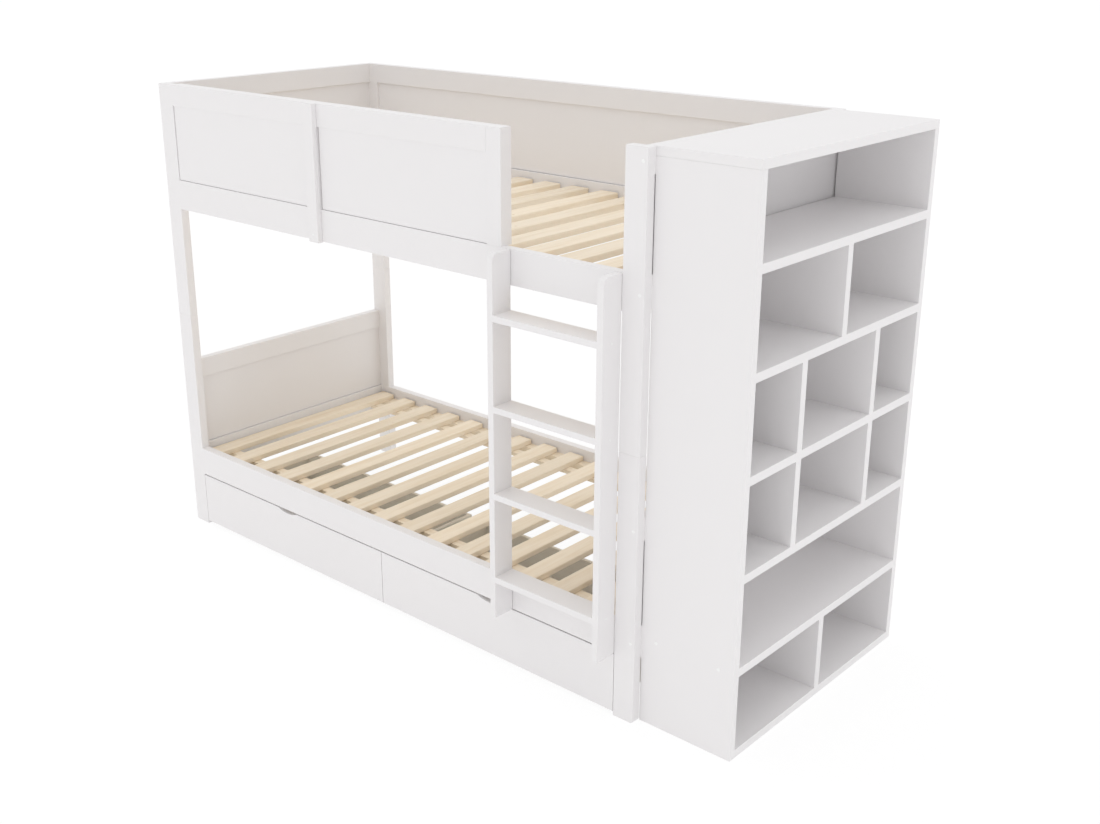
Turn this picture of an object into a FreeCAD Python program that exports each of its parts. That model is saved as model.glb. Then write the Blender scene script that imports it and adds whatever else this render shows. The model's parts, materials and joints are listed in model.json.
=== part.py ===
import FreeCAD, Part
import os

# A bunk bed with a vertical ladder, two under-bed drawers on wheels and an open
# bookcase across its right end. Sizes are in millimetres. While the pieces are
# made, X runs from the left posts' outer faces to the right, Y from the front
# faces of the posts to the back, and Z up from the floor. Each piece is moved
# to the centre of the footprint as it is saved.

# ---- Bed frame ----
BED_LENGTH = 2090.0
BED_DEPTH = 960.0
BED_HEIGHT = 1626.0
FRAME_THICKNESS = 29.0
POST_WIDTH = 70.0
POST_JOINT_HEIGHT = 812.0
POST_FOOT_ROUND = 9.0
POST_TOP_ROUND = 4.0
POST_JOINT_CHAMFER = 1.2
EDGE_ROUND = 1.2
RAIL_HEIGHT = 102.0
LOWER_RAIL_BOTTOM = 201.0
BUNK_SPACING = 999.0
TOP_RAIL_HEIGHT = 70.0
HEADBOARD_TOP = 630.0
PANEL_THICKNESS = 12.0
SHADOW_GAP = 1.5
SHADOW_DEPTH = 6.0

# ---- Front guard of the upper bunk ----
GUARD_THICKNESS = 43.0
GUARD_PANEL_THICKNESS = 18.0
GUARD_RECESS = 2.5
GUARD_FIELD_MARGIN = 5.0
GUARD_MARGIN_GAP = 2.0
LEFT_FIELD_LENGTH = 700.0
MIDDLE_STILE_WIDTH = 58.5
RIGHT_PANEL_GAP = 5.0
END_STILE_WIDTH = 54.5
BATTEN_WIDTH = 45.0
BATTEN_THICKNESS = 18.0
BATTEN_OVERHANG = 2.0
BATTEN_SCREW_HEIGHT = 23.0

# ---- Slats, the ledgers that carry them and the ties under them ----
SLAT_COUNT = 16
LOWER_SLAT_WIDTH = 66.0
UPPER_SLAT_WIDTH = 74.0
SLAT_THICKNESS = 20.0
SLAT_END_GAP = 7.0
FIRST_SLAT_OFFSET = 11.0
LAST_SLAT_OFFSET = 21.5
SLAT_EDGE_ROUND = 2.5
LEDGER_WIDTH = 40.0
LEDGER_HEIGHT = 52.0
LEDGER_BASE_OFFSET = 7.0
LEDGER_END_GAP = 2.0
TIE_WIDTH = 33.0
TIE_HEIGHT = 15.0
TIE_INSET = 80.0

# ---- Ladder ----
LADDER_DEPTH = 75.0
LADDER_BOARD = 20.0
LADDER_WIDTH = 406.5
LADDER_POST_GAP = 1.5
LADDER_GUARD_GAP = 15.0
LADDER_TOP_DROP = 2.0
LADDER_TOP_ROUND = 24.0
STEP_COUNT = 4
STEP_THICKNESS = 19.0
FIRST_STEP_TOP = 335.0
STEP_PITCH = 265.0

# ---- Bookcase ----
BOOKCASE_DEPTH = 306.0
BOOKCASE_SETBACK = 32.0
BOOKCASE_REAR_SETBACK = 26.0
BOOKCASE_SIDE = 23.0
BOOKCASE_BOARD = 25.0
BOOKCASE_BACK = 4.0
BACK_GROOVE_WIDTH = 7.0
BACK_GROOVE_DEPTH = 10.0
BOOKCASE_BOTTOM_ROW = 227.0
BOOKCASE_ROW = 249.5
SHELF_COUNT = 5
SIDE_COMPARTMENT = 221.5

# ---- Drawers ----
DRAWER_FLOOR_GAP = 11.5
DRAWER_TOP_GAP = 4.3
DRAWER_SIDE_GAP = 2.0
DRAWER_MIDDLE_GAP = 2.4
DRAWER_SPLIT = 1047.0
DRAWER_FRONT_THICKNESS = 18.0
DRAWER_BOX_DEPTH = 442.0
DRAWER_BOX_DROP = 32.7
DRAWER_BOX_BOARD = 12.0
DRAWER_BOX_INSET = 34.0
DRAWER_BASE_THICKNESS = 6.0
BASE_ABOVE_AXLE = 24.0
SCOOP_WIDTH = 100.0
SCOOP_DEPTH = 10.0

# ---- Wheels ----
WHEEL_RADIUS = 22.0
WHEEL_WIDTH = 14.0
WHEEL_ROUND = 2.0
WHEEL_FLOOR_GAP = 0.3
WHEEL_SIDE_GAP = 0.5
WHEEL_END_OFFSET = 45.0
AXLE_RADIUS = 4.0
AXLE_HEAD_RADIUS = 8.0
AXLE_HEAD_THICKNESS = 2.0
AXLE_CLEARANCE = 0.05
AXLE_WALL = 5.0

# ---- Fasteners ----
BOLT_RADIUS = 3.0
BOLT_GRIP = 40.0
BOLT_CLEARANCE = 0.05
DOWEL_COVER = 8.0
DOWEL_LENGTH = 60.0
CAP_RADIUS = 5.0
CAP_THICKNESS = 0.8
CAP_INSET = 50.0
SMALL_CAP_RADIUS = 3.5

# ---- Places worked out from the sizes above ----
RIGHT_POST = BED_LENGTH - POST_WIDTH
REAR_FRAME = BED_DEPTH - FRAME_THICKNESS
RIGHT_END = BED_LENGTH - FRAME_THICKNESS
UPPER_RAIL_BOTTOM = LOWER_RAIL_BOTTOM + BUNK_SPACING
UPPER_RAIL_TOP = UPPER_RAIL_BOTTOM + RAIL_HEIGHT
LOWER_RAIL_TOP = LOWER_RAIL_BOTTOM + RAIL_HEIGHT
GUARD_TOP_RAIL_BOTTOM = BED_HEIGHT - TOP_RAIL_HEIGHT
FIRST_SLAT_LEFT = FRAME_THICKNESS + FIRST_SLAT_OFFSET
LAST_SLAT_RIGHT = RIGHT_END - LAST_SLAT_OFFSET
LADDER_TOP = UPPER_RAIL_TOP - LADDER_TOP_DROP
LADDER_RIGHT = RIGHT_POST - LADDER_POST_GAP
LADDER_LEFT = LADDER_RIGHT - LADDER_WIDTH
GUARD_END = LADDER_LEFT - LADDER_GUARD_GAP
END_STILE_LEFT = GUARD_END - END_STILE_WIDTH
LEFT_FIELD_START = POST_WIDTH + GUARD_FIELD_MARGIN
MIDDLE_STILE_LEFT = LEFT_FIELD_START + LEFT_FIELD_LENGTH
MIDDLE_STILE_RIGHT = MIDDLE_STILE_LEFT + MIDDLE_STILE_WIDTH
PANEL_INSET = (FRAME_THICKNESS - PANEL_THICKNESS) / 2
BOOKCASE_RIGHT = BED_LENGTH + BOOKCASE_DEPTH
BOOKCASE_REAR = BED_DEPTH - BOOKCASE_REAR_SETBACK
BOOKCASE_INNER_FRONT = BOOKCASE_SETBACK + BOOKCASE_SIDE
BOOKCASE_INNER_REAR = BOOKCASE_REAR - BOOKCASE_SIDE
BOOKCASE_TOP_UNDERSIDE = BED_HEIGHT - BOOKCASE_BOARD
BOOKCASE_BACK_FACE = BED_LENGTH + BOOKCASE_BACK
DRAWER_FRONT_TOP = LOWER_RAIL_BOTTOM - DRAWER_TOP_GAP
DRAWER_BACK_FACE = DRAWER_FRONT_THICKNESS + DRAWER_BOX_DEPTH
AXLE_HEIGHT = WHEEL_RADIUS + WHEEL_FLOOR_GAP
DRAWER_BOX_BOTTOM = AXLE_HEIGHT - AXLE_RADIUS - AXLE_WALL
DRAWER_BOX_TOP = DRAWER_FRONT_TOP - DRAWER_BOX_DROP
DRAWER_BASE_BOTTOM = AXLE_HEIGHT + BASE_ABOVE_AXLE
FOOTPRINT_CENTRE = FreeCAD.Vector(BOOKCASE_RIGHT / 2, (BED_DEPTH - LADDER_DEPTH) / 2, 0)

ALONG_X = FreeCAD.Vector(1, 0, 0)
ALONG_Y = FreeCAD.Vector(0, 1, 0)
ALONG_Z = FreeCAD.Vector(0, 0, 1)


def save(node, shape):
    """Write one piece, moved so that the footprint's centre is the origin."""
    shape = shape.copy()
    shape.translate(-FOOTPRINT_CENTRE)
    shape.exportStep("parts/" + node + ".step")


def group(solids):
    """Keep several separate solids together as one piece."""
    return Part.makeCompound(solids)


def block(x, y, z):
    """Make a plain box from its (low, high) pair along each axis."""
    corner = FreeCAD.Vector(x[0], y[0], z[0])
    return Part.makeBox(x[1] - x[0], y[1] - y[0], z[1] - z[0], corner)


def edges_along(shape, axis):
    """List the straight edges that run along an axis."""
    found = []
    for edge in shape.Edges:
        run = edge.lastVertex().Point - edge.firstVertex().Point
        if run.cross(axis).Length < 1e-6:
            found.append(edge)
    return found


def board(x, y, z, along, radius=EDGE_ROUND):
    """Make a board whose four long edges, along one axis, are eased."""
    shape = block(x, y, z)
    return shape.makeFillet(radius, edges_along(shape, along))


def shadow_gap(x, y, rail_top):
    """What is cut from a panel's lower edge, so that a fine line shows on the rail."""
    return block(x, y, (rail_top, rail_top + SHADOW_GAP))


def rod(start, axis, length, radius):
    """Make a cylinder from a start point along an axis."""
    return Part.makeCylinder(radius, length, start, axis)


def at(x, y, z):
    return FreeCAD.Vector(x, y, z)


# ---- Where the bolts and dowels go ----
# An end rail is bolted through the face of each post, into the rail's end grain.
END_RAILS = [
    (LOWER_RAIL_BOTTOM, LOWER_RAIL_TOP),
    (HEADBOARD_TOP - TOP_RAIL_HEIGHT, HEADBOARD_TOP),
    (UPPER_RAIL_BOTTOM, UPPER_RAIL_TOP),
    (GUARD_TOP_RAIL_BOTTOM, BED_HEIGHT),
]


def bolt_heights():
    """Mid heights of the four rails at each end of the bed."""
    return [(low + high) / 2 for low, high in END_RAILS]


def end_rail_centre(left):
    """Middle of the end rails' thickness, where their bolts run."""
    return FRAME_THICKNESS / 2 if left else BED_LENGTH - FRAME_THICKNESS / 2


def joints_at_post(left, front, clearance=0.0):
    """Rods through one post into the end rails; with a clearance, their holes.

    The front right post has bolts that go in through its face. The other posts
    have dowels whose ends stay covered.
    """
    cover = 0.0 if front and not left else DOWEL_COVER - clearance
    length = FRAME_THICKNESS + BOLT_GRIP + clearance - cover
    start_y = cover if front else BED_DEPTH - cover
    axis = ALONG_Y if front else -ALONG_Y
    centre_x = end_rail_centre(left)
    radius = BOLT_RADIUS + clearance
    return [rod(at(centre_x, start_y, z), axis, length, radius) for z in bolt_heights()]


def dowel(post_x, post_y, clearance=0.0):
    """The pin that joins a post's lower and upper halves."""
    length = DOWEL_LENGTH + 2 * clearance
    start = at(post_x, post_y, POST_JOINT_HEIGHT - length / 2)
    return rod(start, ALONG_Z, length, BOLT_RADIUS + clearance)


# ---- Posts ----
def post_places():
    """Name, left edge and front edge of each post, and whether it is left or front."""
    return [
        ("front_left", 0.0, 0.0, True, True),
        ("front_right", RIGHT_POST, 0.0, False, True),
        ("rear_left", 0.0, REAR_FRAME, True, False),
        ("rear_right", RIGHT_POST, REAR_FRAME, False, False),
    ]


def ease_joint(shape):
    """Chamfer a post half where it meets the other half."""
    chosen = []
    for edge in shape.Edges:
        box = edge.BoundBox
        if abs(box.ZMin - POST_JOINT_HEIGHT) < 1e-6 and abs(box.ZMax - POST_JOINT_HEIGHT) < 1e-6:
            chosen.append(edge)
    return shape.makeChamfer(POST_JOINT_CHAMFER, chosen)


def round_outer_corner(shape, left, height, radius):
    """Round the corner between a post's outer side and its foot or its top."""
    outer_x = shape.BoundBox.XMin if left else shape.BoundBox.XMax
    chosen = []
    for edge in edges_along(shape, ALONG_Y):
        middle = edge.CenterOfMass
        if abs(middle.x - outer_x) < 1e-6 and abs(middle.z - height) < 1e-6:
            chosen.append(edge)
    return shape.makeFillet(radius, chosen)


def post_half(x, y, z, left, front, end_height, end_round):
    """One half of a post, with its rounded end and the holes for its fasteners."""
    shape = block(x, y, z)
    shape = round_outer_corner(shape, left, end_height, end_round)
    shape = ease_joint(shape)
    holes = joints_at_post(left, front, BOLT_CLEARANCE)
    holes.append(dowel(sum(x) / 2, sum(y) / 2, BOLT_CLEARANCE))
    return shape.cut(holes)


def make_posts():
    for name, x, y, left, front in post_places():
        span_x = (x, x + POST_WIDTH)
        span_y = (y, y + FRAME_THICKNESS)
        lower = post_half(span_x, span_y, (0, POST_JOINT_HEIGHT),
                          left, front, 0, POST_FOOT_ROUND)
        upper = post_half(span_x, span_y, (POST_JOINT_HEIGHT, BED_HEIGHT),
                          left, front, BED_HEIGHT, POST_TOP_ROUND)
        save("post_" + name + "_lower", lower)
        save("post_" + name + "_upper", upper)


# ---- Long rails and the rear guard ----
def make_long_rails():
    span_x = (POST_WIDTH, RIGHT_POST)
    front_y = (0, FRAME_THICKNESS)
    rear_y = (REAR_FRAME, BED_DEPTH)
    upper_z = (UPPER_RAIL_BOTTOM, UPPER_RAIL_TOP)
    lower_z = (LOWER_RAIL_BOTTOM, LOWER_RAIL_TOP)
    save("upper_front_rail", board(span_x, front_y, upper_z, ALONG_X))
    save("upper_rear_rail", board(span_x, rear_y, upper_z, ALONG_X))
    save("lower_front_rail", board(span_x, front_y, lower_z, ALONG_X))
    save("lower_rear_rail", board(span_x, rear_y, lower_z, ALONG_X))
    top_z = (GUARD_TOP_RAIL_BOTTOM, BED_HEIGHT)
    save("guard_rear_top_rail", board(span_x, rear_y, top_z, ALONG_X))
    panel_y = (REAR_FRAME + PANEL_INSET, BED_DEPTH - PANEL_INSET)
    panel_z = (UPPER_RAIL_TOP, GUARD_TOP_RAIL_BOTTOM)
    shadow_y = (panel_y[0], panel_y[0] + SHADOW_DEPTH)
    panel = block(span_x, panel_y, panel_z).cut(shadow_gap(span_x, shadow_y, UPPER_RAIL_TOP))
    save("guard_rear_panel", panel)


# ---- Ends of the bed ----
def make_end(rails_name, panel_name, left, rails_z):
    """Two rails between the posts of one end, with a thin panel between them."""
    outer_x = 0.0 if left else RIGHT_END
    rail_x = (outer_x, outer_x + FRAME_THICKNESS)
    panel_x = (outer_x + PANEL_INSET, outer_x + FRAME_THICKNESS - PANEL_INSET)
    span_y = (FRAME_THICKNESS, REAR_FRAME)
    holes = joints_at_post(left, True, BOLT_CLEARANCE)
    holes += joints_at_post(left, False, BOLT_CLEARANCE)
    rails = [board(rail_x, span_y, z, ALONG_Y).cut(holes) for z in rails_z]
    save(rails_name, group(rails))
    panel = block(panel_x, span_y, (rails_z[0][1], rails_z[1][0]))
    inner_x = panel_x[1] - SHADOW_DEPTH if left else panel_x[0]
    shadow_x = (inner_x, inner_x + SHADOW_DEPTH)
    save(panel_name, panel.cut(shadow_gap(shadow_x, span_y, rails_z[0][1])))


def make_ends():
    make_end("headboard_rails", "headboard_panel", True, END_RAILS[:2])
    make_end("footboard_rails", "footboard_panel", False, END_RAILS[:2])
    make_end("guard_left_rails", "guard_left_panel", True, END_RAILS[2:])
    make_end("guard_right_rails", "guard_right_panel", False, END_RAILS[2:])


# ---- Front guard ----
def make_front_guard():
    frame_y = (0, GUARD_THICKNESS)
    field_z = (UPPER_RAIL_TOP, GUARD_TOP_RAIL_BOTTOM)
    panel_y = (GUARD_RECESS, GUARD_RECESS + GUARD_PANEL_THICKNESS)
    top_rail = board((POST_WIDTH, END_STILE_LEFT), frame_y,
                     (GUARD_TOP_RAIL_BOTTOM, BED_HEIGHT), ALONG_X)
    end_stile = board((END_STILE_LEFT, GUARD_END), frame_y,
                      (UPPER_RAIL_TOP, BED_HEIGHT), ALONG_Z)
    middle_stile = block((MIDDLE_STILE_LEFT, MIDDLE_STILE_RIGHT), frame_y, field_z)
    margin = block((POST_WIDTH, LEFT_FIELD_START), (0, panel_y[1]), field_z)
    left_x = (LEFT_FIELD_START, MIDDLE_STILE_LEFT)
    right_x = (MIDDLE_STILE_RIGHT + RIGHT_PANEL_GAP, END_STILE_LEFT)
    shadow_y = (GUARD_RECESS, GUARD_RECESS + SHADOW_DEPTH)
    margin_x = (LEFT_FIELD_START, LEFT_FIELD_START + GUARD_MARGIN_GAP)
    margin_shadow = block(margin_x, shadow_y, field_z)
    left_panel = block(left_x, panel_y, field_z).fuse(margin).removeSplitter()
    left_panel = left_panel.cut([shadow_gap(left_x, shadow_y, UPPER_RAIL_TOP), margin_shadow])
    right_panel = block(right_x, panel_y, field_z)
    right_panel = right_panel.cut(shadow_gap(right_x, shadow_y, UPPER_RAIL_TOP))
    batten = board((MIDDLE_STILE_RIGHT - BATTEN_WIDTH, MIDDLE_STILE_RIGHT),
                   (-BATTEN_THICKNESS, 0),
                   (UPPER_RAIL_BOTTOM - BATTEN_OVERHANG, BED_HEIGHT), ALONG_Z)
    save("guard_front_top_rail", top_rail)
    save("guard_front_end_stile", end_stile)
    save("guard_front_middle_stile", middle_stile)
    save("guard_front_panel_left", left_panel)
    save("guard_front_panel_right", right_panel)
    save("guard_front_batten", batten)


# ---- Slats ----
def slat_base(rail_bottom):
    """Height of the ledgers' tops, where a bunk's slats lie."""
    return rail_bottom + LEDGER_BASE_OFFSET + LEDGER_HEIGHT


def ledgers(rail_bottom):
    """The two battens, on the front and rear rails, that carry a bunk's slats."""
    span_x = (FRAME_THICKNESS + LEDGER_END_GAP, RIGHT_END - LEDGER_END_GAP)
    top = slat_base(rail_bottom)
    span_z = (top - LEDGER_HEIGHT, top)
    front_y = (FRAME_THICKNESS, FRAME_THICKNESS + LEDGER_WIDTH)
    rear_y = (REAR_FRAME - LEDGER_WIDTH, REAR_FRAME)
    return [board(span_x, y, span_z, ALONG_X) for y in (front_y, rear_y)]


def ties(rail_bottom):
    """The two thin battens that hold a bunk's slats together from below."""
    span_x = (FIRST_SLAT_LEFT, LAST_SLAT_RIGHT)
    top = slat_base(rail_bottom)
    span_z = (top - TIE_HEIGHT, top)
    front = FRAME_THICKNESS + TIE_INSET
    rear = REAR_FRAME - TIE_INSET
    spans_y = [(front, front + TIE_WIDTH), (rear - TIE_WIDTH, rear)]
    return [board(span_x, y, span_z, ALONG_X) for y in spans_y]


def slats(rail_bottom, width):
    """A bunk's slats, lying across its ledgers; both bunks share the lower's pitch."""
    base = slat_base(rail_bottom)
    span_y = (FRAME_THICKNESS + SLAT_END_GAP, REAR_FRAME - SLAT_END_GAP)
    span_z = (base, base + SLAT_THICKNESS)
    pitch = (LAST_SLAT_RIGHT - LOWER_SLAT_WIDTH - FIRST_SLAT_LEFT) / (SLAT_COUNT - 1)
    lefts = [FIRST_SLAT_LEFT + index * pitch for index in range(SLAT_COUNT)]
    return [board((left, left + width), span_y, span_z, ALONG_Y, SLAT_EDGE_ROUND)
            for left in lefts]


def make_bunks():
    battens = []
    for rail_bottom in (LOWER_RAIL_BOTTOM, UPPER_RAIL_BOTTOM):
        battens += ledgers(rail_bottom) + ties(rail_bottom)
    save("slat_ledgers", group(battens))
    save("lower_slats", group(slats(LOWER_RAIL_BOTTOM, LOWER_SLAT_WIDTH)))
    save("upper_slats", group(slats(UPPER_RAIL_BOTTOM, UPPER_SLAT_WIDTH)))


# ---- Ladder ----
def ladder_stile(left):
    """A ladder side board, its top front corner rounded and its back edges rebated."""
    shape = block((left, left + LADDER_BOARD), (-LADDER_DEPTH, 0),
                  (LOWER_RAIL_BOTTOM, LADDER_TOP))
    chosen = []
    for edge in edges_along(shape, ALONG_X):
        middle = edge.CenterOfMass
        if abs(middle.y + LADDER_DEPTH) < 1e-6 and abs(middle.z - LADDER_TOP) < 1e-6:
            chosen.append(edge)
    shape = shape.makeFillet(LADDER_TOP_ROUND, chosen)
    right = left + LADDER_BOARD
    back_y = (-SHADOW_GAP, 0)
    height = (LOWER_RAIL_BOTTOM, LADDER_TOP)
    sides_x = [(left, left + SHADOW_DEPTH), (right - SHADOW_DEPTH, right)]
    return shape.cut([block(x, back_y, height) for x in sides_x])


def step_tops():
    return [FIRST_STEP_TOP + index * STEP_PITCH for index in range(STEP_COUNT)]


def make_ladder():
    right = LADDER_RIGHT - LADDER_BOARD
    span_x = (LADDER_LEFT + LADDER_BOARD, right)
    span_y = (-LADDER_DEPTH, 0)
    steps = [board(span_x, span_y, (top - STEP_THICKNESS, top), ALONG_X)
             for top in step_tops()]
    save("ladder_stile_left", ladder_stile(LADDER_LEFT))
    save("ladder_stile_right", ladder_stile(right))
    save("ladder_steps", group(steps))


# ---- Bookcase ----
def shelf_bottom(index):
    """Underside of a fixed shelf, counted from the floor up."""
    first = BOOKCASE_BOARD + BOOKCASE_BOTTOM_ROW
    return first + index * (BOOKCASE_BOARD + BOOKCASE_ROW)


def shelf_top(index):
    return shelf_bottom(index) + BOOKCASE_BOARD


def bookcase_rows():
    """Clear (bottom, top) height of each row, from the floor up."""
    rows = [(BOOKCASE_BOARD, shelf_bottom(0))]
    for index in range(SHELF_COUNT - 1):
        rows.append((shelf_top(index), shelf_bottom(index + 1)))
    rows.append((shelf_top(SHELF_COUNT - 1), BOOKCASE_TOP_UNDERSIDE))
    return rows


def divider_places():
    """Front edges of the upright dividers in each row, from the floor up."""
    middle = (BOOKCASE_INNER_FRONT + BOOKCASE_INNER_REAR - BOOKCASE_BOARD) / 2
    near = BOOKCASE_INNER_FRONT + SIDE_COMPARTMENT
    far = BOOKCASE_INNER_REAR - SIDE_COMPARTMENT - BOOKCASE_BOARD
    return [[middle], [], [near, far], [near, far], [middle], []]


def make_bookcase():
    inner_x = (BOOKCASE_BACK_FACE, BOOKCASE_RIGHT)
    inner_y = (BOOKCASE_INNER_FRONT, BOOKCASE_INNER_REAR)
    outer_x = (BED_LENGTH, BOOKCASE_RIGHT)
    side_z = (0, BOOKCASE_TOP_UNDERSIDE)
    front_side = block(outer_x, (BOOKCASE_SETBACK, BOOKCASE_INNER_FRONT), side_z)
    rear_side = block(outer_x, (BOOKCASE_INNER_REAR, BOOKCASE_REAR), side_z)
    groove_x = (BOOKCASE_BACK_FACE, BOOKCASE_BACK_FACE + BACK_GROOVE_WIDTH)
    groove_y = (BOOKCASE_INNER_REAR, BOOKCASE_INNER_REAR + BACK_GROOVE_DEPTH)
    rear_side = rear_side.cut(block(groove_x, groove_y, side_z))
    top = block(outer_x, (BOOKCASE_SETBACK, BOOKCASE_REAR),
                (BOOKCASE_TOP_UNDERSIDE, BED_HEIGHT))
    top = top.makeFillet(EDGE_ROUND, top.Edges)
    back = block((BED_LENGTH, BOOKCASE_BACK_FACE), inner_y, side_z)
    save("bookcase_side_front", front_side)
    save("bookcase_side_rear", rear_side)
    save("bookcase_top", top)
    save("bookcase_back", back)
    save("bookcase_bottom", block(inner_x, inner_y, (0, BOOKCASE_BOARD)))
    for index in range(SHELF_COUNT):
        shelf_z = (shelf_bottom(index), shelf_top(index))
        shelf = block(inner_x, inner_y, shelf_z)
        if index == SHELF_COUNT - 1:
            groove_z = (shelf_z[1] - BACK_GROOVE_DEPTH, shelf_z[1])
            shelf = shelf.cut(block(groove_x, inner_y, groove_z))
        save("bookcase_shelf_" + str(index + 1), shelf)
    dividers = []
    for row, fronts in zip(bookcase_rows(), divider_places()):
        for front in fronts:
            dividers.append(block(inner_x, (front, front + BOOKCASE_BOARD), row))
    save("bookcase_dividers", group(dividers))


# ---- Drawers ----
def scoop(centre_x):
    """The shallow finger hollow, an arc of a cylinder, in a drawer front's top edge."""
    radius = ((SCOOP_WIDTH / 2) ** 2 + SCOOP_DEPTH ** 2) / (2 * SCOOP_DEPTH)
    centre_z = DRAWER_FRONT_TOP - SCOOP_DEPTH + radius
    return rod(at(centre_x, 0, centre_z), ALONG_Y, DRAWER_FRONT_THICKNESS, radius)


def axle_places():
    """Distance of the front and rear axles from the front faces of the posts."""
    return [DRAWER_FRONT_THICKNESS + WHEEL_END_OFFSET, DRAWER_BACK_FACE - WHEEL_END_OFFSET]


def wheel(outer_face, outward, y):
    """A wheel beside a drawer side; outward is 1 to the right and -1 to the left."""
    start = at(outer_face + outward * WHEEL_SIDE_GAP, y, AXLE_HEIGHT)
    axis = ALONG_X * outward
    disc = rod(start, axis, WHEEL_WIDTH, WHEEL_RADIUS)
    disc = disc.makeFillet(WHEEL_ROUND, disc.Edges[0:1] + disc.Edges[2:3])
    return disc.cut(rod(start, axis, WHEEL_WIDTH, AXLE_RADIUS + AXLE_CLEARANCE))


def axle_pin(outer_face, outward, y):
    """A headed pin through a drawer side that carries one wheel."""
    axis = ALONG_X * outward
    inner_face = outer_face - outward * DRAWER_BOX_BOARD
    head_start = at(inner_face - outward * AXLE_HEAD_THICKNESS, y, AXLE_HEIGHT)
    flange_gap = 2 * WHEEL_SIDE_GAP + WHEEL_WIDTH
    shank = rod(head_start, axis,
                AXLE_HEAD_THICKNESS + DRAWER_BOX_BOARD + flange_gap, AXLE_RADIUS)
    head = rod(head_start, axis, AXLE_HEAD_THICKNESS, AXLE_HEAD_RADIUS)
    flange_start = at(outer_face + outward * flange_gap, y, AXLE_HEIGHT)
    flange = rod(flange_start, axis, AXLE_HEAD_THICKNESS, AXLE_HEAD_RADIUS)
    return shank.fuse([head, flange]).removeSplitter()


def make_drawer(name, left, right):
    """One drawer between two edges of its front, with its four wheels."""
    front_z = (DRAWER_FLOOR_GAP, DRAWER_FRONT_TOP)
    front = board((left, right), (0, DRAWER_FRONT_THICKNESS), front_z, ALONG_X)
    save(name + "_front", front.cut(scoop((left + right) / 2)))

    box_left = left + DRAWER_BOX_INSET
    box_right = right - DRAWER_BOX_INSET
    inner_x = (box_left + DRAWER_BOX_BOARD, box_right - DRAWER_BOX_BOARD)
    side_y = (DRAWER_FRONT_THICKNESS, DRAWER_BACK_FACE)
    side_z = (DRAWER_BOX_BOTTOM, DRAWER_BOX_TOP)
    left_side = block((box_left, inner_x[0]), side_y, side_z)
    right_side = block((inner_x[1], box_right), side_y, side_z)
    holes = [rod(at(box_left, y, AXLE_HEIGHT), ALONG_X, box_right - box_left,
                 AXLE_RADIUS + AXLE_CLEARANCE) for y in axle_places()]
    save(name + "_sides", group([left_side.cut(holes), right_side.cut(holes)]))

    back_y = (DRAWER_BACK_FACE - DRAWER_BOX_BOARD, DRAWER_BACK_FACE)
    base_z = (DRAWER_BASE_BOTTOM, DRAWER_BASE_BOTTOM + DRAWER_BASE_THICKNESS)
    save(name + "_back", block(inner_x, back_y, (base_z[0], DRAWER_BOX_TOP)))
    save(name + "_base", block(inner_x, (DRAWER_FRONT_THICKNESS, back_y[0]), base_z))

    pins = []
    for place, y in zip(("front", "rear"), axle_places()):
        wheels = [wheel(box_left, -1, y), wheel(box_right, 1, y)]
        save(name + "_wheels_" + place, group(wheels))
        pins += [axle_pin(box_left, -1, y), axle_pin(box_right, 1, y)]
    save(name + "_axle_pins", group(pins))


def make_drawers():
    half_gap = DRAWER_MIDDLE_GAP / 2
    make_drawer("drawer_left", POST_WIDTH + DRAWER_SIDE_GAP, DRAWER_SPLIT - half_gap)
    make_drawer("drawer_right", DRAWER_SPLIT + half_gap, RIGHT_POST - DRAWER_SIDE_GAP)


# ---- Fasteners ----
def cap(x, y, z, axis, radius=CAP_RADIUS):
    """A flat cap on the face of a board, over a screw or on a bolt."""
    return rod(at(x, y, z), axis, CAP_THICKNESS, radius)


def frame_fasteners():
    """The bolts and dowels of the end rails and the pins between the post halves."""
    solids = []
    for name, x, y, left, front in post_places():
        rods = joints_at_post(left, front)
        if front and not left:
            bolt_x = end_rail_centre(left)
            caps = [cap(bolt_x, 0, z, -ALONG_Y) for z in bolt_heights()]
            rods = [bolt.fuse(head) for bolt, head in zip(rods, caps)]
        solids += rods
        solids.append(dowel(x + POST_WIDTH / 2, y + FRAME_THICKNESS / 2))
    return solids


def screw_caps():
    """The caps that show on the batten, the ladder and the bookcase's sides."""
    batten_x = MIDDLE_STILE_RIGHT - BATTEN_WIDTH / 2
    batten_z = UPPER_RAIL_BOTTOM + BATTEN_SCREW_HEIGHT
    caps = [cap(batten_x, -BATTEN_THICKNESS, batten_z, -ALONG_Y, SMALL_CAP_RADIUS)]
    for top in step_tops():
        z = top - STEP_THICKNESS / 2
        caps.append(cap(LADDER_RIGHT, -LADDER_DEPTH / 2, z, ALONG_X, SMALL_CAP_RADIUS))
        caps.append(cap(LADDER_LEFT, -LADDER_DEPTH / 2, z, -ALONG_X, SMALL_CAP_RADIUS))
    shelf_z = shelf_bottom(0) + BOOKCASE_BOARD / 2
    for x in (BED_LENGTH + CAP_INSET, BOOKCASE_RIGHT - CAP_INSET):
        caps.append(cap(x, BOOKCASE_SETBACK, shelf_z, -ALONG_Y))
        caps.append(cap(x, BOOKCASE_REAR, shelf_z, ALONG_Y))
    return caps


def make_fasteners():
    save("fasteners", group(frame_fasteners() + screw_caps()))


os.makedirs("parts", exist_ok=True)
make_posts()
make_long_rails()
make_ends()
make_front_guard()
make_bunks()
make_ladder()
make_bookcase()
make_drawers()
make_fasteners()
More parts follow.
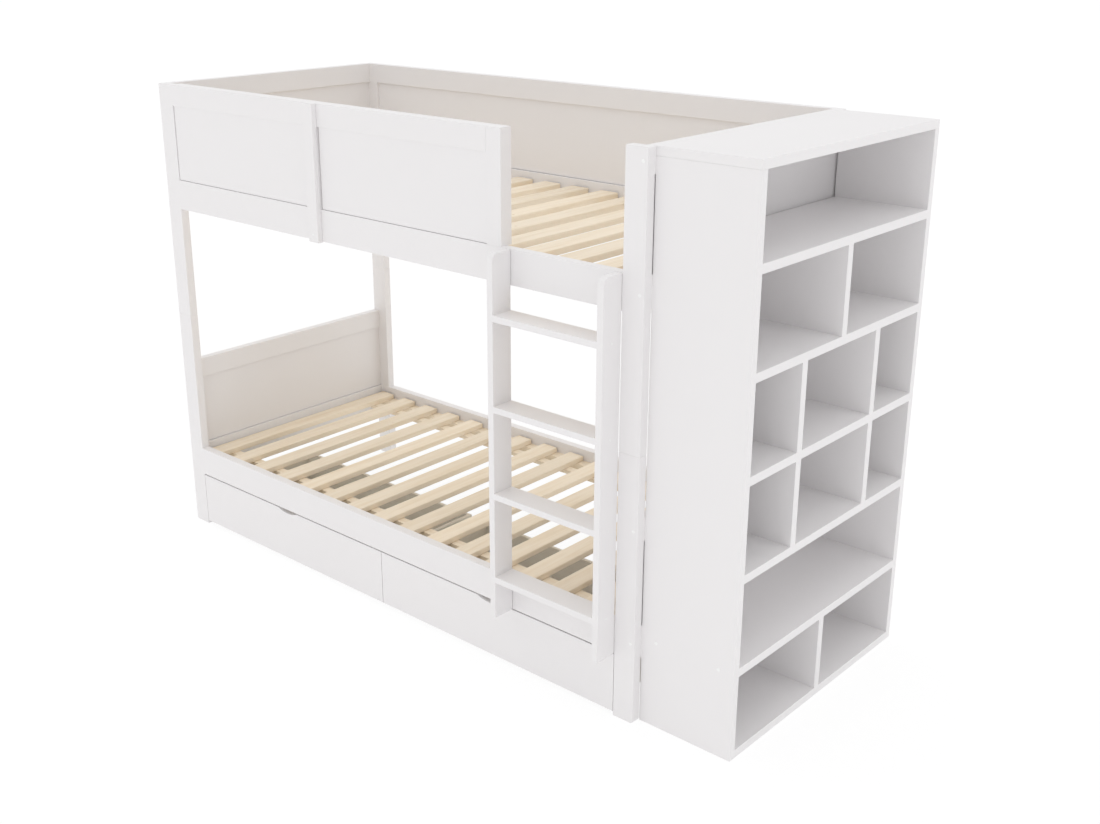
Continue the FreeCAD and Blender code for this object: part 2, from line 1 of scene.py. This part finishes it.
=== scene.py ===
# %% [markdown]
# # A white bunk bed with a ladder, drawers and a bookcase
#
# The bed arrives as a fixed frame: every board, slat, pin and wheel is already at
# its real size and place. This file gives the surfaces their finish, rebuilds the
# slats and the wheels with more detail, and sets up the camera and the light. We
# load the frame first and keep its box, to compare with the box at the end.

import json
import math

import bmesh
import bpy
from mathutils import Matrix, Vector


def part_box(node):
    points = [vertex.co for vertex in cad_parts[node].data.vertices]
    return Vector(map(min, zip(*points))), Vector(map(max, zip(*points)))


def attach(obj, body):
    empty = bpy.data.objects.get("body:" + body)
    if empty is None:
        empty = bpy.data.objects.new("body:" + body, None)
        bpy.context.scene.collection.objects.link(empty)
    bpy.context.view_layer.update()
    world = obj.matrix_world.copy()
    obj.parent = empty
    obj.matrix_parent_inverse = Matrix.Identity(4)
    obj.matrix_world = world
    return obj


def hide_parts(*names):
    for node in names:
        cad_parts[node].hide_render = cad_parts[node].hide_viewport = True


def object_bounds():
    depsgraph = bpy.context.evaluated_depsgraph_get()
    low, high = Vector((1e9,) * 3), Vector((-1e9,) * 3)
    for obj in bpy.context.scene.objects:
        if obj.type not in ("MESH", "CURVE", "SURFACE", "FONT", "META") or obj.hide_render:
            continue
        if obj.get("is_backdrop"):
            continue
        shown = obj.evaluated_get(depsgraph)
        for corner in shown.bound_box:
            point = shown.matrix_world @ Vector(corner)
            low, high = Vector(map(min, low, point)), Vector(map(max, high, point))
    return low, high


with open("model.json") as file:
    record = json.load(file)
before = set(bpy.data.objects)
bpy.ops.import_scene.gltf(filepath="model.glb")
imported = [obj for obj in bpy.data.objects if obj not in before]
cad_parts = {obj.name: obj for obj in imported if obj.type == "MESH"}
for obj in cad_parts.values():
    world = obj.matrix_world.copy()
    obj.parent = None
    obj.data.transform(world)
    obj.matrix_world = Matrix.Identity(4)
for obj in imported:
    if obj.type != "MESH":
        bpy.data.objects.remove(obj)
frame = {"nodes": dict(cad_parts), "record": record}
NODES = frame["nodes"]
cad_low, cad_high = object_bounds()
cad_size = [round(high - low, 3) for low, high in zip(cad_low, cad_high)]
print("frame:", len(NODES), "nodes, box", cad_size)

# %% [markdown]
# ## Camera
#
# The photograph is a product picture taken from above the bookcase's corner. Its
# vertical edges lean in a little, so the camera looks down without any roll. The
# picture was cropped off centre, which a small lens shift repeats. The place is in
# metres from the middle of the bed's footprint, and the focal length is in pixels
# of a picture 1100 wide.

# %% Camera
PICTURE_WIDTH = 1100
PICTURE_HEIGHT = 824
FOCAL_PIXELS = 1330.2
AXIS_PIXEL = (534.2, 390.5)
CAMERA_PLACE = (2.8414, -3.0473, 2.1347)
CAMERA_TURN = 41.705
CAMERA_DIP = 19.285
SENSOR_WIDTH = 36.0


def add_camera():
    """Make the camera that sees the bed as the photograph does."""
    data = bpy.data.cameras.new("product_camera")
    data.sensor_width = SENSOR_WIDTH
    data.lens = FOCAL_PIXELS / PICTURE_WIDTH * SENSOR_WIDTH
    data.shift_x = (PICTURE_WIDTH / 2 - AXIS_PIXEL[0]) / PICTURE_WIDTH
    data.shift_y = (AXIS_PIXEL[1] - PICTURE_HEIGHT / 2) / PICTURE_WIDTH
    camera = bpy.data.objects.new("product_camera", data)
    camera.location = CAMERA_PLACE
    camera.rotation_euler = (math.radians(90 - CAMERA_DIP), 0, math.radians(CAMERA_TURN))
    bpy.context.scene.collection.objects.link(camera)
    bpy.context.scene.camera = camera
    return camera


camera = add_camera()
bpy.context.scene.view_settings.view_transform = "Standard"
print("camera: lens", round(camera.data.lens, 2), "mm")

# %% [markdown]
# ## Helpers for materials
#
# A node material is a small graph. Writing each node out by hand hides the idea of
# the finish, so three helpers keep it short: one starts a material, one makes a node
# and sets its sockets, and one joins two sockets.

# %% Material helpers


def new_material(name):
    """Start a node material and return it with its node tree and its main shader."""
    material = bpy.data.materials.new(name)
    material.use_nodes = True
    tree = material.node_tree
    return material, tree, tree.nodes["Principled BSDF"]


def add_node(tree, kind, settings=None, **values):
    """Add a node; settings are its options and values are its input sockets."""
    node = tree.nodes.new(kind)
    for name, value in (settings or {}).items():
        setattr(node, name, value)
    for name, value in values.items():
        node.inputs[name.replace("_", " ")].default_value = value
    return node


def join(tree, source, target, out=0, into=0):
    """Link one node's output to another's input, by number or by name."""
    tree.links.new(source.outputs[out], target.inputs[into])


# %% [markdown]
# ## White lacquer
#
# The boards are sprayed with a satin white lacquer. Up close such a coat is never
# dead flat: it has a very fine orange peel, and its gloss drifts a little where the
# spray was heavier. We could paint it with a texture, but two noises on Object
# coordinates do it at a true scale on every board: a broad one shifts the roughness
# and a fine one lifts the surface by a few hundredths of a millimetre.

# %% White lacquer
LACQUER_WHITE = (0.885, 0.869, 0.874, 1)
LACQUER_SHADE = (0.875, 0.859, 0.863, 1)
LACQUER_ROUGHNESS = (0.36, 0.48)
LACQUER_SPECULAR = 0.3
CLOUD_PER_METRE = 2.2
CLOUD_DETAIL = 3.0
PEEL_PER_METRE = 380.0
PEEL_DETAIL = 2.0
PEEL_HEIGHT = 0.00002
PEEL_STRENGTH = 0.35


def white_lacquer():
    """Satin white paint on smooth board."""
    material, tree, shader = new_material("white_lacquer")
    place = add_node(tree, "ShaderNodeTexCoord")
    cloud = add_node(tree, "ShaderNodeTexNoise", Scale=CLOUD_PER_METRE, Detail=CLOUD_DETAIL)
    tint = add_node(tree, "ShaderNodeMix", {"data_type": "RGBA"})
    tint.inputs["A"].default_value = LACQUER_WHITE
    tint.inputs["B"].default_value = LACQUER_SHADE
    gloss = add_node(tree, "ShaderNodeMapRange", To_Min=LACQUER_ROUGHNESS[0],
                     To_Max=LACQUER_ROUGHNESS[1])
    peel = add_node(tree, "ShaderNodeTexNoise", Scale=PEEL_PER_METRE, Detail=PEEL_DETAIL)
    bump = add_node(tree, "ShaderNodeBump", Strength=PEEL_STRENGTH, Distance=PEEL_HEIGHT)
    join(tree, place, cloud, "Object", "Vector")
    join(tree, place, peel, "Object", "Vector")
    join(tree, cloud, tint, "Fac", "Factor")
    join(tree, tint, shader, "Result", "Base Color")
    join(tree, cloud, gloss, "Fac", "Value")
    join(tree, gloss, shader, "Result", "Roughness")
    join(tree, peel, bump, "Fac", "Height")
    join(tree, bump, shader, "Normal", "Normal")
    shader.inputs["Specular IOR Level"].default_value = LACQUER_SPECULAR
    return material


WHITE = white_lacquer()
print("material:", WHITE.name)

# %% [markdown]
# ## Grain and knots
#
# The slats are planed pine with no finish. Pine shows long streaks, pale early wood
# and thin darker late wood, which run the length of the slat, and a small knot here
# and there. A wave texture would give streaks too, but they would be as even as a
# ruler's marks. A noise that is squeezed across the slat and stretched along it
# wanders as real grain does. The knots are the middles of a few Voronoi cells.

# %% Grain and knots
PINE_PALE = (0.955, 0.85, 0.695, 1)
PINE_DEEP = (0.89, 0.762, 0.585, 1)
BOX_PALE = (0.93, 0.895, 0.825, 1)
BOX_DEEP = (0.89, 0.84, 0.755, 1)
KNOT_BROWN = (0.58, 0.40, 0.23, 1)
GRAIN_ALONG_Y = (1.0, 0.06, 1.0)
GRAIN_ALONG_X = (0.06, 1.0, 1.0)
GRAIN_PER_METRE = 55.0
GRAIN_DETAIL = 4.0
GRAIN_ROUGHNESS = 0.55
GRAIN_BEND = 0.6
GRAIN_CONTRAST = (0.42, 0.72)
KNOTS_PER_METRE = 5.0
KNOT_REACH = 0.035
KNOT_STRENGTH = 0.6


def add_grain(tree, place, grain_stretch):
    """Streaks of late wood along one axis, as a value that goes up in the streaks."""
    stretch = add_node(tree, "ShaderNodeMapping")
    stretch.inputs["Scale"].default_value = grain_stretch
    streaks = add_node(tree, "ShaderNodeTexNoise", Scale=GRAIN_PER_METRE,
                       Detail=GRAIN_DETAIL, Roughness=GRAIN_ROUGHNESS, Distortion=GRAIN_BEND)
    join(tree, place, stretch, "Vector", "Vector")
    join(tree, stretch, streaks, "Vector", "Vector")
    return streaks


def add_wood_colour(tree, streaks, pale, deep):
    """The wood's colour, from pale to deep with the streaks."""
    grade = add_node(tree, "ShaderNodeMapRange", From_Min=GRAIN_CONTRAST[0],
                     From_Max=GRAIN_CONTRAST[1])
    wood = add_node(tree, "ShaderNodeMix", {"data_type": "RGBA"})
    wood.inputs["A"].default_value = pale
    wood.inputs["B"].default_value = deep
    join(tree, streaks, grade, "Fac", "Value")
    join(tree, grade, wood, "Result", "Factor")
    return wood


def add_knots(tree, place, wood):
    """Small brown knots over the wood's colour."""
    cells = add_node(tree, "ShaderNodeTexVoronoi", Scale=KNOTS_PER_METRE)
    fade = add_node(tree, "ShaderNodeMapRange", From_Min=0.0, From_Max=KNOT_REACH,
                    To_Min=KNOT_STRENGTH, To_Max=0.0)
    knotted = add_node(tree, "ShaderNodeMix", {"data_type": "RGBA"})
    knotted.inputs["B"].default_value = KNOT_BROWN
    join(tree, place, cells, "Vector", "Vector")
    join(tree, cells, fade, "Distance", "Value")
    join(tree, fade, knotted, "Result", "Factor")
    join(tree, wood, knotted, "Result", "A")
    return knotted


print("grain:", GRAIN_PER_METRE, "and knots:", KNOTS_PER_METRE, "to a metre")

# %% [markdown]
# ## Bare pine
#
# Every slat comes from a different board. One material for all of them is enough if
# each slat carries a value of its own, its tone: the finish moves the pattern by it
# and makes the wood a little darker or brighter. The grain follows the length of a
# board, so there is one finish for boards that lie along Y and one for boards along
# X. The drawers' boxes are of a paler, greyer wood with the same kind of grain.

# %% Bare pine
TONE_SHIFT = 37.0
TONE_VALUE = (0.955, 1.03)
GRAIN_HEIGHT = 0.0002
GRAIN_STRENGTH = 0.25
PLANED_ROUGHNESS = 0.62
PLANED_SPECULAR = 0.25


def bare_pine(name, grain_stretch, pale, deep):
    """Planed wood with its grain along one axis, varied by a stored tone value."""
    material, tree, shader = new_material(name)
    place = add_node(tree, "ShaderNodeTexCoord")
    tone = add_node(tree, "ShaderNodeAttribute", {"attribute_name": "tone"})
    shift = add_node(tree, "ShaderNodeVectorMath", {"operation": "SCALE"}, Scale=TONE_SHIFT)
    moved = add_node(tree, "ShaderNodeVectorMath", {"operation": "ADD"})
    join(tree, tone, shift, "Fac", "Vector")
    join(tree, place, moved, "Object", 0)
    join(tree, shift, moved, "Vector", 1)
    streaks = add_grain(tree, moved, grain_stretch)
    knotted = add_knots(tree, moved, add_wood_colour(tree, streaks, pale, deep))
    value = add_node(tree, "ShaderNodeMapRange", To_Min=TONE_VALUE[0], To_Max=TONE_VALUE[1])
    toned = add_node(tree, "ShaderNodeHueSaturation")
    bump = add_node(tree, "ShaderNodeBump", Strength=GRAIN_STRENGTH, Distance=GRAIN_HEIGHT)
    join(tree, tone, value, "Fac", "Value")
    join(tree, value, toned, "Result", "Value")
    join(tree, knotted, toned, "Result", "Color")
    join(tree, toned, shader, "Color", "Base Color")
    join(tree, streaks, bump, "Fac", "Height")
    join(tree, bump, shader, "Normal", "Normal")
    shader.inputs["Roughness"].default_value = PLANED_ROUGHNESS
    shader.inputs["Specular IOR Level"].default_value = PLANED_SPECULAR
    return material


SLAT_PINE = bare_pine("slat_pine", GRAIN_ALONG_Y, PINE_PALE, PINE_DEEP)
BATTEN_PINE = bare_pine("batten_pine", GRAIN_ALONG_X, PINE_PALE, PINE_DEEP)
BOX_SIDE_WOOD = bare_pine("box_side_wood", GRAIN_ALONG_Y, BOX_PALE, BOX_DEEP)
BOX_WOOD = bare_pine("box_wood", GRAIN_ALONG_X, BOX_PALE, BOX_DEEP)
print("materials:", SLAT_PINE.name, BATTEN_PINE.name, BOX_SIDE_WOOD.name, BOX_WOOD.name)

# %% [markdown]
# ## Plastic, steel and enamel
#
# The wheels are moulded plastic, the axle pins are zinc-plated steel and the small
# caps are white enamel. A flat colour would do from far away, but close up a fine
# noise in the gloss and the surface makes them look moulded, plated and enamelled.
# The three differ only in numbers, so one function makes them all.

# %% Small finishes
BLACK_PLASTIC = (0.035, 0.035, 0.038, 1)
ZINC_GREY = (0.62, 0.62, 0.64, 1)
ENAMEL_WHITE = (0.96, 0.96, 0.955, 1)
SMALL_GRAIN_DETAIL = 3.0
SMALL_GRAIN_STRENGTH = 0.4


def small_finish(name, colour, metallic, roughness, grain_per_metre, lift):
    """A plain hard finish whose gloss and surface vary by a fine noise."""
    material, tree, shader = new_material(name)
    place = add_node(tree, "ShaderNodeTexCoord")
    grain = add_node(tree, "ShaderNodeTexNoise", Scale=grain_per_metre,
                     Detail=SMALL_GRAIN_DETAIL)
    gloss = add_node(tree, "ShaderNodeMapRange", To_Min=roughness[0], To_Max=roughness[1])
    bump = add_node(tree, "ShaderNodeBump", Strength=SMALL_GRAIN_STRENGTH, Distance=lift)
    join(tree, place, grain, "Object", "Vector")
    join(tree, grain, gloss, "Fac", "Value")
    join(tree, gloss, shader, "Result", "Roughness")
    join(tree, grain, bump, "Fac", "Height")
    join(tree, bump, shader, "Normal", "Normal")
    shader.inputs["Base Color"].default_value = colour
    shader.inputs["Metallic"].default_value = metallic
    return material


WHEEL_PLASTIC = small_finish("wheel_plastic", BLACK_PLASTIC, metallic=0.0,
                             roughness=(0.42, 0.6), grain_per_metre=900.0, lift=0.00003)
PIN_STEEL = small_finish("pin_steel", ZINC_GREY, metallic=1.0,
                         roughness=(0.22, 0.38), grain_per_metre=1400.0, lift=0.00001)
CAP_ENAMEL = small_finish("cap_enamel", ENAMEL_WHITE, metallic=0.0,
                          roughness=(0.22, 0.32), grain_per_metre=500.0, lift=0.00001)
print("materials:", WHEEL_PLASTIC.name, PIN_STEEL.name, CAP_ENAMEL.name)

# %% [markdown]
# ## Dress the frame
#
# Every board of the frame has the right shape already, so it only gets its finish.
# The record says which material slot each node uses, and one table turns the slot
# into a material. The boards of the drawers' boxes are the one case that the slot
# doesn't tell apart: their wood is paler, and their sides lie along Y.

# %% Dress the frame
FINISHES = {
    "white_board": WHITE,
    "pine": BATTEN_PINE,
    "wheel_plastic": WHEEL_PLASTIC,
    "pin_steel": PIN_STEEL,
    "white_fastener": CAP_ENAMEL,
}


def dress_frame():
    """Give each node of the frame the finish that its slot names."""
    for row in frame["record"]["subparts"]:
        node = NODES[row["node"]]
        finish = FINISHES[row["material_slot"]]
        if row["node"].startswith("drawer") and row["material_slot"] == "pine":
            finish = BOX_SIDE_WOOD if row["node"].endswith("_sides") else BOX_WOOD
        node.data.materials.clear()
        node.data.materials.append(finish)


dress_frame()

# %% [markdown]
# ## Slat nodes
#
# Each bunk lies on sixteen planed slats, alike and evenly spaced. They could be
# copied meshes, but a slat bed is a rule: one profile, one length, one pitch. So
# Geometry Nodes draw the profile, a rectangle with rounded corners, and sweep it
# along the slat's length. Then they set one slat on each point of a row. A random
# value for each slat is stored as its tone, which the pine finish reads.

# %% Slat nodes
SLAT_ROUND_STEPS = 5
SLAT_SEED = 7


def named_input(tree, kind, name):
    """Declare one named input of a node group and return its identifier."""
    socket = tree.interface.new_socket(name=name, in_out="INPUT", socket_type=kind)
    return socket.identifier


def add_one_slat(tree, given):
    """Nodes that sweep the rounded profile along the length of a slat."""
    profile = add_node(tree, "GeometryNodeCurvePrimitiveQuadrilateral")
    rounded = add_node(tree, "GeometryNodeFilletCurve", {"mode": "POLY"},
                       Count=SLAT_ROUND_STEPS)
    far_end = add_node(tree, "ShaderNodeCombineXYZ")
    run = add_node(tree, "GeometryNodeCurvePrimitiveLine")
    slat = add_node(tree, "GeometryNodeCurveToMesh")
    slat.inputs["Fill Caps"].default_value = True
    join(tree, given, profile, "Width", "Width")
    join(tree, given, profile, "Thickness", "Height")
    join(tree, profile, rounded, "Curve", "Curve")
    join(tree, given, rounded, "Edge Round", "Radius")
    join(tree, given, far_end, "Length", "Y")
    join(tree, far_end, run, "Vector", "End")
    join(tree, run, slat, "Curve", "Curve")
    join(tree, rounded, slat, "Curve", "Profile Curve")
    return slat


def add_row(tree, given, slat):
    """Nodes that set a slat on each point of a row and store its tone."""
    step = add_node(tree, "ShaderNodeCombineXYZ")
    row = add_node(tree, "GeometryNodeMeshLine")
    copies = add_node(tree, "GeometryNodeInstanceOnPoints")
    random = add_node(tree, "FunctionNodeRandomValue", {"data_type": "FLOAT"}, Seed=SLAT_SEED)
    tone = add_node(tree, "GeometryNodeStoreNamedAttribute",
                    {"data_type": "FLOAT", "domain": "INSTANCE"}, Name="tone")
    join(tree, given, step, "Pitch", "X")
    join(tree, given, row, "Count", "Count")
    join(tree, given, row, "Corner", "Start Location")
    join(tree, step, row, "Vector", "Offset")
    join(tree, row, copies, "Mesh", "Points")
    join(tree, slat, copies, "Mesh", "Instance")
    join(tree, copies, tone, "Instances", "Geometry")
    join(tree, random, tone, 1, "Value")
    return tone


def slat_row_nodes():
    """A node group that makes a row of slats; returns it and its inputs' identifiers."""
    tree = bpy.data.node_groups.new("slat_row", "GeometryNodeTree")
    tree.interface.new_socket(name="Geometry", in_out="OUTPUT",
                              socket_type="NodeSocketGeometry")
    keys = {"Count": named_input(tree, "NodeSocketInt", "Count")}
    for name in ("Pitch", "Length", "Width", "Thickness", "Edge Round"):
        keys[name] = named_input(tree, "NodeSocketFloat", name)
    keys["Corner"] = named_input(tree, "NodeSocketVector", "Corner")
    keys["Finish"] = named_input(tree, "NodeSocketMaterial", "Finish")
    given = add_node(tree, "NodeGroupInput")
    result = add_node(tree, "NodeGroupOutput")
    row = add_row(tree, given, add_one_slat(tree, given))
    realized = add_node(tree, "GeometryNodeRealizeInstances")
    finish = add_node(tree, "GeometryNodeSetMaterial")
    join(tree, row, realized, "Geometry", "Geometry")
    join(tree, realized, finish, "Geometry", "Geometry")
    join(tree, given, finish, "Finish", "Material")
    join(tree, finish, result, "Geometry", "Geometry")
    return tree, keys


SLAT_NODES, SLAT_KEYS = slat_row_nodes()
print("slat nodes:", len(SLAT_NODES.nodes), "inputs:", list(SLAT_KEYS))

# %% [markdown]
# ## Make the slats
#
# The node group needs numbers. We could write them out, but the frame already holds
# a plain slat row for each bunk, so the length, thickness and place come from its
# box, and only the slats' width is ours: the upper bunk's are a little wider. The
# result is turned into a plain mesh that takes the place of the frame's plain slats.

# %% Make the slats
SLAT_COUNT = 16
SLAT_WIDTH = {"lower": 0.066, "upper": 0.074}
SLAT_ROUND = 0.003


def mesh_from_nodes(name, tree, keys, values):
    """Run a node group with the given values and keep the result as a plain mesh."""
    source = bpy.data.objects.new(name + "_nodes", bpy.data.meshes.new(name + "_nodes"))
    bpy.context.scene.collection.objects.link(source)
    modifier = source.modifiers.new("nodes", "NODES")
    modifier.node_group = tree
    for key, value in values.items():
        modifier[keys[key]] = value
    bpy.context.view_layer.update()
    evaluated = source.evaluated_get(bpy.context.evaluated_depsgraph_get())
    mesh = bpy.data.meshes.new_from_object(evaluated)
    mesh.name = name
    source.modifiers.remove(modifier)
    bpy.data.objects.remove(source)
    piece = bpy.data.objects.new(name, mesh)
    bpy.context.scene.collection.objects.link(piece)
    return piece


def add_slats(name, node, width):
    """Make one bunk's slats inside the box of the frame's plain slats."""
    low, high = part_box(node)
    pitch = (high[0] - low[0] - width) / (SLAT_COUNT - 1)
    corner = (low[0] + width / 2, low[1], (low[2] + high[2]) / 2)
    piece = mesh_from_nodes(name, SLAT_NODES, SLAT_KEYS, {
        "Count": SLAT_COUNT, "Pitch": pitch, "Length": high[1] - low[1],
        "Width": width, "Thickness": high[2] - low[2], "Edge Round": SLAT_ROUND,
        "Corner": corner, "Finish": SLAT_PINE})
    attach(piece, "bed")
    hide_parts(node)
    return piece


for bunk in ("lower", "upper"):
    slats = add_slats(bunk + "_bunk_slats", bunk + "_slats", SLAT_WIDTH[bunk])
    print(slats.name, len(slats.data.polygons), "faces, tone stored:",
          "tone" in slats.data.attributes)

# %% [markdown]
# ## Wheel outline
#
# Each drawer rolls on four moulded wheels. A real one has a crowned tread, a rim, a
# sunk web with spokes and a hub around the axle. A cylinder with spokes set on it
# would need many small parts and holes to close. The wheel is a turned shape, so
# instead one closed outline, from the hub out to the tread and back, is repeated
# around the axle. In the slices that belong to a spoke, the points of the sunk web
# stand further out.

# %% Wheel outline
WHEEL_WIDTH = 0.014
WHEEL_STEPS = 72
SPOKE_EVERY = 12
SPOKE_STEPS = 3
SPOKE_DEPTH = 0.0012
WEB_DEPTH = 0.0035
# Each point: the distance in from the wheel's face, and the distance from the axle.
WHEEL_HUB = [(0.0, 0.00405), (0.0, 0.0072), (0.0005, 0.0078)]
WHEEL_WEB = [(WEB_DEPTH, 0.0086), (WEB_DEPTH, 0.0160)]
WHEEL_RIM = [(0.0006, 0.0170), (0.0002, 0.0178), (0.0002, 0.0196), (0.0010, 0.0210),
             (0.0028, 0.0218)]
TREAD_TOP = (WHEEL_WIDTH / 2, 0.0220)


def wheel_outline(on_spoke):
    """The closed outline of one slice of a wheel."""
    web = [(SPOKE_DEPTH, radius) for _, radius in WHEEL_WEB] if on_spoke else WHEEL_WEB
    side = WHEEL_HUB + web + WHEEL_RIM
    other_side = [(WHEEL_WIDTH - depth, radius) for depth, radius in reversed(side)]
    return side + [TREAD_TOP] + other_side


print("wheel outline:", len(wheel_outline(on_spoke=False)), "points, turned in",
      WHEEL_STEPS, "steps")

# %% [markdown]
# ## Make the wheels
#
# The frame holds a plain pair of wheels at each end of a drawer. The box of a pair
# gives the line of its axles, so the detailed pair sits on the same pins, keeps the
# same tread on the floor and turns about the same line when the drawer rolls out.

# %% Make the wheels


def turn_wheel(mesh, face, axle_y, axle_z):
    """Add one wheel to a mesh; face is the place of its left side along X."""
    rings = []
    for step in range(WHEEL_STEPS):
        angle = 2 * math.pi * step / WHEEL_STEPS
        outline = wheel_outline(step % SPOKE_EVERY < SPOKE_STEPS)
        rings.append([mesh.verts.new((face + depth, axle_y + radius * math.cos(angle),
                                      axle_z + radius * math.sin(angle)))
                      for depth, radius in outline])
    for ring, following in zip(rings, rings[1:] + rings[:1]):
        for first in range(len(ring)):
            second = (first + 1) % len(ring)
            mesh.faces.new((ring[first], ring[second], following[second], following[first]))


def add_wheels(drawer, end):
    """Make the two wheels at one end of a drawer in place of the plain ones."""
    node = drawer + "_wheels_" + end
    low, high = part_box(node)
    mesh = bmesh.new()
    for face in (low[0], high[0] - WHEEL_WIDTH):
        turn_wheel(mesh, face, (low[1] + high[1]) / 2, (low[2] + high[2]) / 2)
    bmesh.ops.recalc_face_normals(mesh, faces=mesh.faces)
    data = bpy.data.meshes.new(drawer + "_" + end + "_wheel_pair")
    mesh.to_mesh(data)
    mesh.free()
    data.materials.append(WHEEL_PLASTIC)
    piece = bpy.data.objects.new(data.name, data)
    bpy.context.scene.collection.objects.link(piece)
    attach(piece, drawer + "_" + end + "_wheels")
    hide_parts(node)
    return piece


for drawer in ("drawer_left", "drawer_right"):
    for end in ("front", "rear"):
        wheels = add_wheels(drawer, end)
        print(wheels.name, len(wheels.data.polygons), "faces")

# %% [markdown]
# ## Floor
#
# The photograph has no visible floor: the bed stands on plain white. A white floor
# that only got its white from stronger lamps would burn out the bed as well. So the
# floor is a matt pale board that glows a little, as a light table does, for the
# light that the bed gets from below. The camera and reflections see it differently,
# through Light Path: a glow a little under white, and a weak matt share on top that
# still takes the bed's shadow.

# %% Floor
FLOOR_HALF = 60.0
FLOOR_DROP = 0.0005
FLOOR_PALE = (0.90, 0.90, 0.90, 1)
FLOOR_SHADED = (0.12, 0.12, 0.12, 1)
FLOOR_GLOW_LIT = 0.218
FLOOR_GLOW_SEEN = 0.90
PLAIN_WHITE = (1, 1, 1, 1)


def seen_directly(tree):
    """A value that is 1 for camera, mirror and glass rays and 0 for all others."""
    path = add_node(tree, "ShaderNodeLightPath")
    first = add_node(tree, "ShaderNodeMath", {"operation": "MAXIMUM"})
    both = add_node(tree, "ShaderNodeMath", {"operation": "MAXIMUM"})
    join(tree, path, first, "Is Camera Ray", 0)
    join(tree, path, first, "Is Glossy Ray", 1)
    join(tree, first, both, "Value", 0)
    join(tree, path, both, "Is Transmission Ray", 1)
    return both


def add_floor():
    """A wide pale floor that keeps the shadow and shows white to the camera."""
    size = FLOOR_HALF
    mesh = bpy.data.meshes.new("studio_floor")
    corners = [(-size, -size, -FLOOR_DROP), (size, -size, -FLOOR_DROP),
               (size, size, -FLOOR_DROP), (-size, size, -FLOOR_DROP)]
    mesh.from_pydata(corners, [], [(0, 1, 2, 3)])
    floor = bpy.data.objects.new("studio_floor", mesh)
    bpy.context.scene.collection.objects.link(floor)
    material, tree, shader = new_material("studio_floor")
    seen = seen_directly(tree)
    matt = add_node(tree, "ShaderNodeMix", {"data_type": "RGBA"})
    matt.inputs["A"].default_value = FLOOR_PALE
    matt.inputs["B"].default_value = FLOOR_SHADED
    shader.inputs["Roughness"].default_value = 1.0
    shader.inputs["Specular IOR Level"].default_value = 0.0
    shader.inputs["Emission Color"].default_value = PLAIN_WHITE
    glow = add_node(tree, "ShaderNodeMapRange", To_Min=FLOOR_GLOW_LIT, To_Max=FLOOR_GLOW_SEEN)
    join(tree, seen, matt, "Value", "Factor")
    join(tree, matt, shader, "Result", "Base Color")
    join(tree, seen, glow, "Value", "Value")
    join(tree, glow, shader, "Result", "Emission Strength")
    mesh.materials.append(material)
    floor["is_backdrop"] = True
    return floor


floor = add_floor()
print("floor:", floor.name, 2 * FLOOR_HALF, "m wide")

# %% [markdown]
# ## Studio dome
#
# Lamps would have to be aimed, and each would leave its own bright spot on the
# lacquer. A world that shines from all around is a softer studio. This one is
# brighter overhead, so that the tops of the boards stand out from their sides, as
# they do in the photograph. Behind the bed it shows as plain white, by the same
# Light Path as the floor.

# %% Studio dome
DOME_LOW = (0.745, 0.745, 0.745, 1)
DOME_HIGH = (1.41, 1.41, 1.41, 1)
DOME_GATHER = 4.0


def add_world():
    """A studio dome, brighter overhead, that shows as plain white."""
    world = bpy.data.worlds.new("studio_dome")
    bpy.context.scene.world = world
    world.use_nodes = True
    tree = world.node_tree
    tree.nodes.clear()
    place = add_node(tree, "ShaderNodeTexCoord")
    split = add_node(tree, "ShaderNodeSeparateXYZ")
    above = add_node(tree, "ShaderNodeMath", {"operation": "MAXIMUM"})
    above.inputs[1].default_value = 0.0
    gather = add_node(tree, "ShaderNodeMath", {"operation": "POWER"})
    gather.inputs[1].default_value = DOME_GATHER
    shade = add_node(tree, "ShaderNodeMix", {"data_type": "RGBA"})
    shade.inputs["A"].default_value = DOME_LOW
    shade.inputs["B"].default_value = DOME_HIGH
    light = add_node(tree, "ShaderNodeBackground", Strength=1.0)
    white = add_node(tree, "ShaderNodeBackground", Strength=1.0)
    white.inputs["Color"].default_value = PLAIN_WHITE
    choose = add_node(tree, "ShaderNodeMixShader")
    out = add_node(tree, "ShaderNodeOutputWorld")
    join(tree, place, split, "Generated", "Vector")
    join(tree, split, above, "Z", 0)
    join(tree, above, gather, "Value", 0)
    join(tree, gather, shade, "Value", "Factor")
    join(tree, shade, light, "Result", "Color")
    join(tree, seen_directly(tree), choose, "Value", 0)
    join(tree, light, choose, 0, 1)
    join(tree, white, choose, 0, 2)
    join(tree, choose, out, 0, "Surface")
    return world


dome = add_world()
print("world:", dome.name, "with", len(dome.node_tree.nodes), "nodes")

# %% [markdown]
# ## Finish
#
# The last cell prints the frame's box and the finished model's box side by side, so that a
# piece that grew past the frame's box would show in the numbers.

# %% Finish
seen_low, seen_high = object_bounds()
seen_size = [round(high - low, 3) for low, high in zip(seen_low, seen_high)]
print("box:", seen_size, "against", cad_size)
